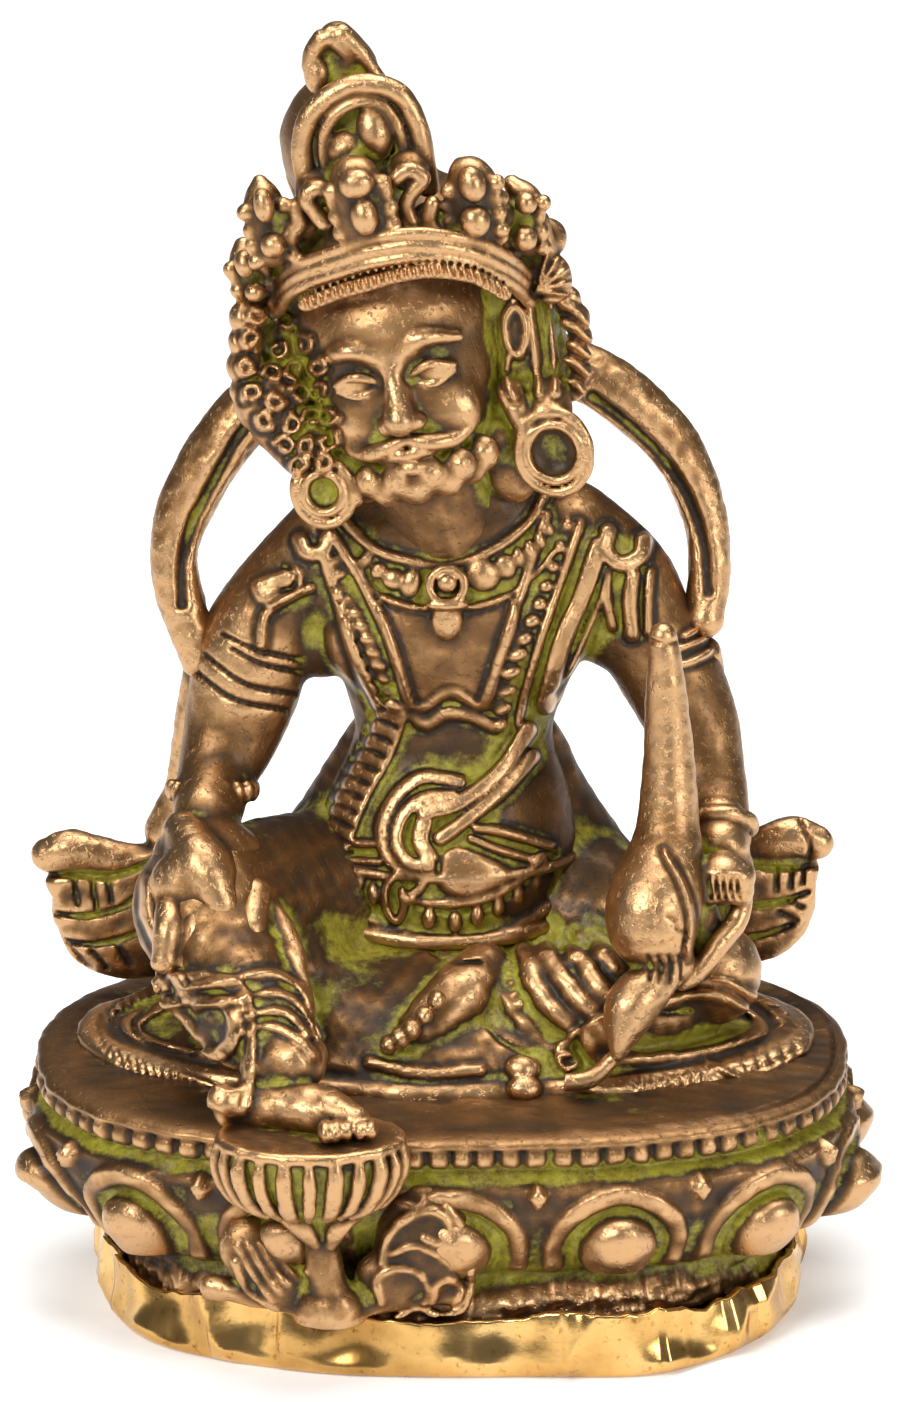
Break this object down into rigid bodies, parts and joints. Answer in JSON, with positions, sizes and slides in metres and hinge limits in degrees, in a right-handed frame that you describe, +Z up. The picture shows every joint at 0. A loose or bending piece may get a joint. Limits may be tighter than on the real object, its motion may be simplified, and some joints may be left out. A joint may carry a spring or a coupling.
{
  "type": "seated wealth deity statue",
  "caption": "Small cast brass statue of a seated Himalayan wealth god on a lotus throne, closed below by a folded sheet plate.",
  "frame": {"origin": "middle of the flat underside of the base plate", "axes": "+Z up through the figure, the figure faces -Y, +X towards the figure's left hand"},
  "size_m": [0.0632, 0.0518, 0.092],
  "materials": {
    "cast_brass": "satin, dark patina with yellow-green pigment in the hollows and polished high places",
    "sheet_brass": "bright crinkled sheet"
  },
  "bodies": {
    "root": {"statue": "cast_brass", "base_plate": "sheet_brass"}
  },
  "joints": []
}
